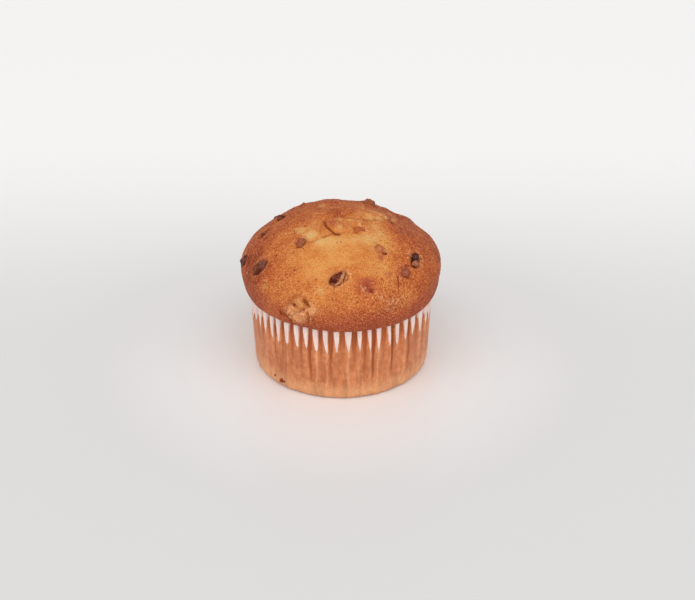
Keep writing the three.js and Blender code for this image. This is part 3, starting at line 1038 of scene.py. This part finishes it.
def bakeCrust(base, azimuth, reach):
    # On the smooth crown: the relief in millimetres, how far crust covers the nuts, and the marks.
    golden = np.linalg.norm(base - crownPoint(*cakeShape["goldenPlace"]), axis=1) / cakeShape["goldenReach"]
    grainy = 0.3 + 0.7 * ease(golden, 0.1, 0.55)
    broad = lumps(base, cakeShape["heaves"], 11) + lumps(base, cakeShape["dimples"], 12)
    grain = lumps(base, cakeShape["grain"], 13) + lumps(base, cakeShape["fineGrain"], 14)
    flow = lumps(base * np.array([0.4, 1, 1]), cakeShape["flow"], 15) * (1 - ease(reach, 16, 28))
    relief = broad + flow + grain * grainy

    torn = patches(base, tornPlaces) * (1 - nearPlace(base, *tornKnob))
    crumbly = lumps(base, cakeShape["crumb"], 19)
    relief += torn * (crumbly + lumps(base, cakeShape["fineCrumb"], 20))
    # painted shade in the hollows of the torn crumb
    dark = 0.5 * torn * ease(crumbly / cakeShape["crumb"][0], 0.1, -0.5)
    stray = 0.28 * ripple(base, 2, 16)
    for path, width, depth, paintedShade in creases:
        groove = bell(alongPath(base, path) + stray, width)
        relief -= depth * groove
        dark = np.maximum(dark, paintedShade * groove)
    for place, size, turn, rise in swellings:
        relief += rise * swell(base, place, size, turn)
    cover = np.zeros(len(base))
    for *place, rise in covers:
        spread = nearPlace(base, *place)
        relief += rise * spread
        cover = np.maximum(cover, spread)
    dice = random.Random(cakeShape["seed"])
    scattered = [(dice.uniform(75, 285), dice.uniform(6, 56), dice.uniform(0.35, 0.6), 0.4)
                 for _ in range(cakeShape["scattered"])]
    for *place, depth in pits + scattered:
        hole = nearPlace(base, *place)
        relief -= depth * hole
        # painted shade in each hole
        dark = np.maximum(dark, 0.9 * hole)
    dark = np.maximum(dark, patches(base, stains))
    fleck = patches(base, [(*place, glintRadius, 1) for place in glints])
    for path in scratches:
        fleck = np.maximum(fleck, 0.8 * bell(alongPath(base, path) + 0.5 * stray, scratchWidth))
    relief += 0.2 * fleck

    pale = patches(base, paleSpots)
    red = np.maximum(patches(base, redSpots), 0.65 * ease(reach, 42, 56) * ease(np.cos(azimuth), -0.2, 0.4))
    grainAndGlint = nearPlace(base, *cakeShape["grainAndGlintPlace"])
    most = cakeShape["brownest"]
    bake = most * np.tanh(golden / most) + 0.26 * ease(reach, 49, 58) + 0.05 * ripple(base, 9, 18)
    bake += sum(change * nearPlace(base, *place) for *place, change in browning) - 0.1 * pale
    return relief, cover, {
        "bake": bake, "pale": pale, "red": red, "dark": dark, "grain": grainy + 0.4 * grainAndGlint, "torn": torn,
        "fleck": np.maximum(fleck, 0.34 * grainAndGlint), "halo": np.zeros(len(base))}


def shapeCake(cake):
    base = readPoints(cake)
    azimuth, radius, height = polar(base)
    onCrown = (radius > caseTop.x + 0.1) | (height > caseTop.z + 0.6)
    relief, cover, marks = bakeCrust(base, azimuth, np.where(onCrown, reachOf(radius, height), 0))
    relief *= np.where(onCrown, ease(height, caseTop.z - 0.5, caseTop.z + 4), 0)
    points = base + readVertices(cake, "normal") * relief[:, None]
    grow = 1 + (girth(azimuth) - 1) * ease(height, caseTop.z, crownShape["widestHeight"])
    points[:, :2] *= np.where(onCrown, grow, 1)[:, None]

    # the lip hangs unevenly
    lip = np.where(onCrown & (radius > caseTop.x + 0.4), 1 - ease(height, caseTop.z - 0.1, caseTop.z + 4), 0)
    points[:, 2] -= (sag(azimuth) + 0.3 * ripple(base, 4, 17)) * lip

    # the body takes the shape of the paper round it
    body = ~onCrown & (height < caseTop.z + 0.1)
    number, across = pleatAt(np.degrees(azimuth))
    drawn = cakeShape["hollow"] * ease(dryEdge(number, across, height), 0, 0.5)
    inwards = (foldDepth(number, across, height) + drawn) * ease(radius, 30, 34)
    points[:, :2] *= np.where(body, 1 - inwards / np.maximum(radius, 1), 1)[:, None]
    writePoints(cake, points)
    return marks, cover


def seatNuts(cake, marks, cover):
    # The crust shrank back from each nut: a gap runs round it, painted dark with shade, and a pale rim
    # stands beside the gap.
    points = readPoints(cake)
    normals = readVertices(cake, "normal")
    for nut, showing in nuts:
        corners = readPoints(nut)
        middle = corners.mean(axis=0)
        around = np.linalg.norm(corners - middle, axis=1).max() + 2.5
        near = np.nonzero(np.linalg.norm(points - middle, axis=1) < around)[0]
        tree = BVHTree.FromPolygons([Vector(corner) for corner in corners],
                                    [tuple(face.vertices) for face in nut.data.polygons])
        widths = np.clip(0.55 + 0.5 * ripple(points[near], 1.3, 45), 0.12, 1.1)
        broken = ease(ripple(points[near], 3.2, 46), -0.45, 0.15)
        for i, width, whole in zip(near, widths, broken):
            spot, facing, _, away = tree.find_nearest(Vector(points[i]))
            gloom = cakeShape["gloom"] * showing
            if (Vector(points[i]) - spot).dot(facing) < 0:      # under the nut
                move = -(away + 0.15 + 0.35 * showing)
            else:
                bare = 1 - cover[i]
                move = cakeShape["rimHeight"] * bell(away - cakeShape["rimPlace"], cakeShape["rimWidth"])
                move -= cakeShape["gapDepth"] * bell(away, 0.3 + 0.8 * width)
                move *= 0.25 + 0.75 * showing
                move -= cakeShape["dip"] * (1 - showing) * bell(away, 1.5)
                move *= bare
                gloom *= bare * bell(away, width)
                rim = (0.2 + 0.8 * showing) * bare * whole * bell(away - 0.65 - width, 0.4)
                marks["halo"][i] = max(marks["halo"][i], rim)
            marks["dark"][i] = max(marks["dark"][i], gloom)
            points[i] += normals[i] * move
    writePoints(cake, points)


def cakeCrust():
    mat = Material("bakedCrust")
    broad = mat.noise(6, 3)
    mottle = mat.noise(2.4, 3)
    speckle = mat.noise(0.95, 2)
    fine = mat.noise(0.42, 2)
    pebble = mat.cells(1.2)
    streak = mat.noise(2.6, 3, (0.35, 1, 1))
    grain = mat.mark("grain")
    pale = mat.mark("pale")
    red = mat.mark("red")
    bake = mat.mark("bake")
    bake = bake + (broad - 0.5) * 0.65 + (mottle - 0.5) * (0.3 + bake * 0.4) + (streak - 0.5) * 0.35
    bake = bake + (speckle - 0.5) * (1 - grain) * 1.4
    smooth = 1 - mat.ease(pale, 0.4, 1.3) * 0.5
    plain = (1 - mat.ease(red, 0.3, 1.2) * 0.6) * (1 - mat.ease(bake, 0.7, 1.2) * 0.4) * smooth
    pale = pale + (mottle - 0.5) + (streak - 0.5) * 0.6
    red = red + (speckle - 0.5) * 0.5 + (mottle - 0.5) * 0.5
    color = mat.ramp(bake, [
        (0, shade(221, 152, 79)), (0.22, shade(213, 131, 63)), (0.5, shade(196, 103, 46)),
        (0.75, shade(172, 76, 32)), (1, shade(140, 54, 24))])
    color = mat.layer(color, [
        (mat.ease(pale, 0.15, 1.1), (225, 172, 106)),
        (mat.ease(pale, 0.85, 1.5) * 0.6, (219, 184, 120)),
        (mat.ease(red, 0.1, 1) * 0.8, (175, 81, 57)),
        (mat.ease(red, 1, 1.8) * 0.6, (156, 64, 46)),
    ])
    crumb = mat.ramp(mat.noise(0.9, 3), [
        (0.3, shade(188, 104, 58)), (0.42, shade(228, 150, 92)), (0.58, shade(240, 170, 114)),
        (0.72, shade(250, 208, 164))])
    color = mat.mix(mat.ease(mat.mark("torn"), 0.15, 0.65) * 0.9, color, crumb)
    color = mat.layer(color, [
        (mat.mark("halo") * mat.ease(speckle, 0.34, 0.6) * 0.68, (232, 164, 118)),
        # grain specks: partly the grain's own colour, partly painted glints and painted shade in its hollows
        (mat.ease(speckle, 0.52, 0.74) * grain * plain * 0.42, (234, 154, 106)),
        (mat.ease(speckle, 0.48, 0.26) * grain * smooth * 0.5, (142, 58, 24)),
        (mat.ease(fine, 0.5, 0.7) * plain * (0.2 + grain * 0.36), (240, 166, 114)),
        (mat.ease(fine, 0.5, 0.3) * smooth * (0.14 + grain * 0.46), (146, 64, 26)),
    ])
    color = mat.scale(color, 1 + (fine - 0.5) * 0.5)
    color = mat.layer(color, [
        # painted glints and pale scratches
        (mat.ease(mat.mark("fleck") + (fine - 0.5) * 0.8, 0.2, 1) * 0.75, (244, 184, 138)),
        # painted shade in creases, holes, torn crumb and the gaps round nuts, with the stains that nuts left
        (mat.ease(mat.mark("dark") + (fine - 0.5) * 0.4, 0.1, 0.95) * 0.9, (120, 42, 6)),
    ])
    roughness = 0.55 + (mottle - 0.5) * 0.25
    relief = mottle * 0.25 + (speckle * 0.5 + fine * 0.25 - pebble * 0.35) * (0.35 + grain * 0.65)
    return mat.close(color, roughness, relief, 0.55, 0.08)


cake = makeCakeCage()
marks, cover = shapeCake(cake)
seatNuts(cake, marks, cover)
writeMarks(cake, **marks)
finishPiece(cake, "crust", cakeCrust(), "cake")
print("cake ready:", len(cake.data.polygons), "faces")


# Nut chips in the crust: azimuth, reach, length, width and turn from level towards the summit.
chips = [
    (40.6, 28.5, 1.2, 0.8, -35), (48.6, 11.6, 0.9, 0.6, 30), (39, 14.9, 1, 0.7, -20),
    (-75.5, 44.2, 1.4, 1, 40), (146, 47, 1.6, 1, 20),
    (160, 41, 1.8, 1.1, -30), (-140, 32, 1.4, 0.9, 60), (-155, 47, 1.5, 1, 10), (-125, 44, 1.7, 1, 80),
]

# Bits stuck to the foot of the case: azimuth, height and size.
footBits = [(-42.2, 3.3, (1.5, 1.8, 1.3)), (-39.8, 3.6, (0.9, 1.2, 1)), (-48.5, 4.2, (0.8, 0.7, 0.7))]


def addChip(middle, level, upward, outward, size):
    bpy.ops.object.select_all(action="DESELECT")
    bpy.ops.mesh.primitive_ico_sphere_add(subdivisions=3, radius=0.5 * mm)
    chip = bpy.context.object
    axes = Matrix([level, upward, outward]).transposed().to_4x4()
    chip.matrix_world = Matrix.Translation(Vector(middle) * mm) @ axes @ Matrix.Diagonal((*size, 1))
    bpy.ops.object.transform_apply(location=True, rotation=True, scale=True)
    return chip


def makeCrumbs():
    pieces = []
    for azimuth, reach, length, width, turn in chips:
        level, upward, outward = (Vector(axis) for axis in crownAxes(azimuth, reach))
        spin = Matrix.Rotation(math.radians(turn), 3, outward)
        middle = Vector(crownPoint(azimuth, reach)) - outward * 0.25
        pieces.append(addChip(middle, spin @ level, spin @ upward, outward, (length, width, 1.1)))
    for azimuth, height, size in footBits:
        angle = math.radians(azimuth)
        outward = Vector((math.sin(angle), -math.cos(angle), 0))
        level = Vector((math.cos(angle), math.sin(angle), 0))
        middle = outward * (caseShape["footRadius"] + 0.25) + Vector((0, 0, height))
        pieces.append(addChip(middle, level, Vector((0, 0, 1)), outward, size))
    pick(*pieces)
    bpy.ops.object.join()
    crumbs = bpy.context.object
    crumbs.name = crumbs.data.name = "nut_crumbs"
    points = readPoints(crumbs)
    wrinkles = creased(points, 0.9, 31)
    writePoints(crumbs, points + readVertices(crumbs, "normal") * (0.3 * wrinkles - 0.12)[:, None])
    none = np.zeros(len(points))
    writeMarks(crumbs, wrinkle=wrinkles, flesh=none, slit=none, crusted=none, sheen=none, edge=none)
    return crumbs


crumbs = makeCrumbs()
finishPiece(crumbs, "nut", nutSkin("chestnut", "oak"))
print("crumbs ready:", len(crumbs.data.polygons), "faces")
